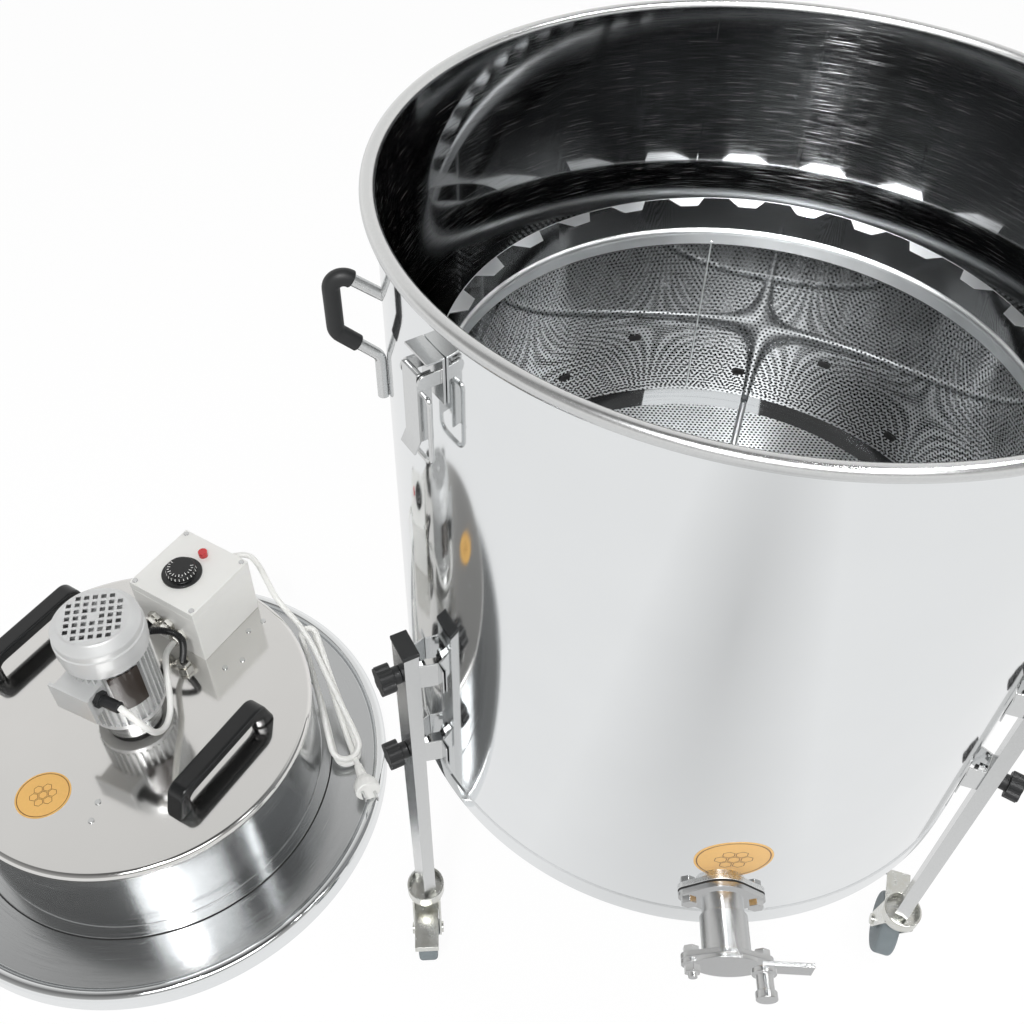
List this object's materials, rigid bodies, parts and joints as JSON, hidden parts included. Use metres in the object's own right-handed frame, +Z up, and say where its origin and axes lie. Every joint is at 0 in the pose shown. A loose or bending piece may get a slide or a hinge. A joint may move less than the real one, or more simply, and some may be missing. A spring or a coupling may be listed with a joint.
{
  "type": "honey wax separator",
  "caption": "Steel wax separator: open tank on castor legs with a perforated basket and gate valve, its heated fan lid standing beside it.",
  "frame": {"origin": "on the floor, under the middle of the box round the tank and the lid together, cords left out", "axes": "+X from the lid to the tank, +Y from the outlet to the back, +Z up"},
  "size_m": [1.4213, 0.8036, 1.03],
  "materials": {
    "polished_steel": "mirror-polished stainless sheet",
    "sheet_steel": "plain cold-rolled stainless sheet",
    "perforated_steel": "satin perforated stainless sheet",
    "leg_steel": "satin stainless rectangular tube",
    "bar_steel": "bright drawn stainless bar and wire",
    "latch_steel": "pressed stainless, lightly polished",
    "zinc_steel": "bright zinc-plated pressed steel",
    "cast_steel": "machined stainless casting, satin",
    "bolt_steel": "plain stainless fasteners",
    "heater_steel": "heat-darkened stainless tube",
    "nickel_brass": "nickel-plated brass",
    "brass_nut": "turned, plated",
    "motor_paint": "light grey painted aluminium casting",
    "black_plastic": "moulded, fine matt grain",
    "black_rubber": "smooth black PVC or rubber",
    "grey_plastic": "light grey moulded housing",
    "white_cable": "white PVC sheath",
    "white_plastic": "white moulded plug",
    "red_lens": "clear red lens",
    "grey_tyre": "grey rubber tread on a plastic hub"
  },
  "bodies": {
    "tank": {"tank_wall": "polished_steel", "tank_bottom": "sheet_steel", "handle_bars": "bar_steel", "handle_grips": "black_rubber", "latch_plates": "latch_steel", "leg_brackets": "sheet_steel", "leg_tubes": "leg_steel", "leg_caps": "black_plastic", "castor_seats": "zinc_steel", "outlet_gasket": "black_rubber", "outlet_spigot": "cast_steel", "gate_body": "cast_steel", "outlet_bolts": "bolt_steel", "basket_rests": "sheet_steel"},
    "basket": {"basket_wall": "perforated_steel", "basket_collar": "perforated_steel", "basket_floor": "perforated_steel"},
    "lid": {"lid_brim": "polished_steel", "lid_drum": "polished_steel", "lid_handles": "black_plastic", "lid_fasteners": "bolt_steel", "motor_ring": "black_plastic", "motor_body": "motor_paint", "motor_cowl": "motor_paint", "heater_ring": "heater_steel", "control_box": "grey_plastic", "control_cover": "grey_plastic", "pilot_lamp": "red_lens", "cable_glands": "nickel_brass", "cord_glands": "black_plastic", "motor_lead": "white_cable", "conduit": "black_rubber", "mains_lead": "white_cable", "mains_hank": "white_cable", "mains_plug": "white_plastic"},
    "fan_rotor": {"fan_wheel": "sheet_steel"},
    "dial": {"thermostat_knob": "black_plastic"},
    "gate": {"gate_flap": "cast_steel"},
    "thumb_nut": {"gate_nut": "brass_nut"},
    "latch_lever_1": {"latch_lever_1": "latch_steel"},
    "latch_bail_1": {"latch_bail_1": "bar_steel"},
    "latch_lever_2": {"latch_lever_2": "latch_steel"},
    "latch_bail_2": {"latch_bail_2": "bar_steel"},
    "latch_lever_3": {"latch_lever_3": "latch_steel"},
    "latch_bail_3": {"latch_bail_3": "bar_steel"},
    "leg_knob_1": {"leg_knob_1": "black_plastic"},
    "leg_knob_2": {"leg_knob_2": "black_plastic"},
    "leg_knob_3": {"leg_knob_3": "black_plastic"},
    "leg_knob_4": {"leg_knob_4": "black_plastic"},
    "leg_knob_5": {"leg_knob_5": "black_plastic"},
    "leg_knob_6": {"leg_knob_6": "black_plastic"},
    "castor_fork_1": {"castor_fork_1": "zinc_steel"},
    "castor_wheel_1": {"castor_wheel_1": "grey_tyre"},
    "brake_pedal_1": {"brake_pedal_1": "zinc_steel"},
    "castor_fork_2": {"castor_fork_2": "zinc_steel"},
    "castor_wheel_2": {"castor_wheel_2": "grey_tyre"},
    "brake_pedal_2": {"brake_pedal_2": "zinc_steel"},
    "castor_fork_3": {"castor_fork_3": "zinc_steel"},
    "castor_wheel_3": {"castor_wheel_3": "grey_tyre"},
    "brake_pedal_3": {"brake_pedal_3": "zinc_steel"}
  },
  "joints": [
    {"name": "lid_lift", "type": "slide", "parent": "tank", "child": "lid", "axis": [0, 0, 1], "range_m": [0, 1.1]},
    {"name": "basket_lift", "type": "slide", "parent": "tank", "child": "basket", "axis": [0, 0, 1], "range_m": [0, 0.5]},
    {"name": "fan_spin", "type": "hinge", "parent": "lid", "child": "fan_rotor", "pos_m": [-0.37371, 0.055, 0.25], "axis": [0, 0, 1], "continuous": true},
    {"name": "dial_turn", "type": "hinge", "parent": "lid", "child": "dial", "pos_m": [-0.32467, 0.21366, 0.28], "axis": [0, 0, -1], "range_deg": [0, 270]},
    {"name": "gate_swing", "type": "hinge", "parent": "tank", "child": "gate", "pos_m": [0.31829, -0.3735, 0.496], "axis": [0, -1, 0], "range_deg": [0, 100]},
    {"name": "thumb_nut_turn", "type": "hinge", "parent": "tank", "child": "thumb_nut", "pos_m": [0.38029, -0.388, 0.496], "axis": [0, -1, 0], "continuous": true},
    {"name": "latch_lever_1_swing", "type": "hinge", "parent": "tank", "child": "latch_lever_1", "pos_m": [0.0777, -0.17232, 0.975], "axis": [-0.5878, 0.809, 0], "range_deg": [0, 60]},
    {"name": "latch_bail_1_swing", "type": "hinge", "parent": "latch_lever_1", "child": "latch_bail_1", "pos_m": [0.0777, -0.17232, 0.961], "axis": [-0.5878, 0.809, 0], "range_deg": [0, 120]},
    {"name": "latch_lever_2_swing", "type": "hinge", "parent": "tank", "child": "latch_lever_2", "pos_m": [0.65597, -0.11154, 0.975], "axis": [-0.4067, -0.9135, 0], "range_deg": [0, 60]},
    {"name": "latch_bail_2_swing", "type": "hinge", "parent": "latch_lever_2", "child": "latch_bail_2", "pos_m": [0.65597, -0.11154, 0.961], "axis": [-0.4067, -0.9135, 0], "range_deg": [0, 120]},
    {"name": "latch_lever_3_swing", "type": "hinge", "parent": "tank", "child": "latch_lever_3", "pos_m": [0.3142, 0.35886, 0.975], "axis": [0.9945, 0.1045, 0], "range_deg": [0, 60]},
    {"name": "latch_bail_3_swing", "type": "hinge", "parent": "latch_lever_3", "child": "latch_bail_3", "pos_m": [0.3142, 0.35886, 0.961], "axis": [0.9945, 0.1045, 0], "range_deg": [0, 120]},
    {"name": "leg_knob_1_turn", "type": "hinge", "parent": "tank", "child": "leg_knob_1", "pos_m": [0.04099, -0.153, 0.455], "axis": [-0.866, -0.5, 0], "continuous": true},
    {"name": "leg_knob_2_turn", "type": "hinge", "parent": "tank", "child": "leg_knob_2", "pos_m": [0.04099, -0.153, 0.59], "axis": [-0.866, -0.5, 0], "continuous": true},
    {"name": "leg_knob_3_turn", "type": "hinge", "parent": "tank", "child": "leg_knob_3", "pos_m": [0.6576, -0.153, 0.455], "axis": [0.866, -0.5, 0], "continuous": true},
    {"name": "leg_knob_4_turn", "type": "hinge", "parent": "tank", "child": "leg_knob_4", "pos_m": [0.6576, -0.153, 0.59], "axis": [0.866, -0.5, 0], "continuous": true},
    {"name": "leg_knob_5_turn", "type": "hinge", "parent": "tank", "child": "leg_knob_5", "pos_m": [0.34929, 0.381, 0.455], "axis": [0, 1, 0], "continuous": true},
    {"name": "leg_knob_6_turn", "type": "hinge", "parent": "tank", "child": "leg_knob_6", "pos_m": [0.34929, 0.381, 0.59], "axis": [0, 1, 0], "continuous": true},
    {"name": "castor_1_swivel", "type": "hinge", "parent": "tank", "child": "castor_fork_1", "pos_m": [0.04878, -0.1485, 0.11], "axis": [0, 0, 1], "continuous": true},
    {"name": "castor_1_roll", "type": "hinge", "parent": "castor_fork_1", "child": "castor_wheel_1", "pos_m": [0.05087, -0.16839, 0.04], "axis": [-0.9945, -0.1045, 0], "continuous": true},
    {"name": "brake_1_press", "type": "hinge", "parent": "castor_fork_1", "child": "brake_pedal_1", "pos_m": [0.05003, -0.16043, 0.089], "axis": [0.9945, 0.1045, 0], "range_deg": [0, 22]},
    {"name": "castor_2_swivel", "type": "hinge", "parent": "tank", "child": "castor_fork_2", "pos_m": [0.6498, -0.1485, 0.11], "axis": [0, 0, 1], "continuous": true},
    {"name": "castor_2_roll", "type": "hinge", "parent": "castor_fork_2", "child": "castor_wheel_2", "pos_m": [0.65498, -0.12918, 0.04], "axis": [0.9659, -0.2588, 0], "continuous": true},
    {"name": "brake_2_press", "type": "hinge", "parent": "castor_fork_2", "child": "brake_pedal_2", "pos_m": [0.65291, -0.13691, 0.089], "axis": [-0.9659, 0.2588, 0], "range_deg": [0, 22]},
    {"name": "castor_3_swivel", "type": "hinge", "parent": "tank", "child": "castor_fork_3", "pos_m": [0.34929, 0.372, 0.11], "axis": [0, 0, 1], "continuous": true},
    {"name": "castor_3_roll", "type": "hinge", "parent": "castor_fork_3", "child": "castor_wheel_3", "pos_m": [0.3305, 0.36516, 0.04], "axis": [-0.342, 0.9397, 0], "continuous": true},
    {"name": "brake_3_press", "type": "hinge", "parent": "castor_fork_3", "child": "brake_pedal_3", "pos_m": [0.33801, 0.3679, 0.089], "axis": [0.342, -0.9397, 0], "range_deg": [0, 22]}
  ]
}
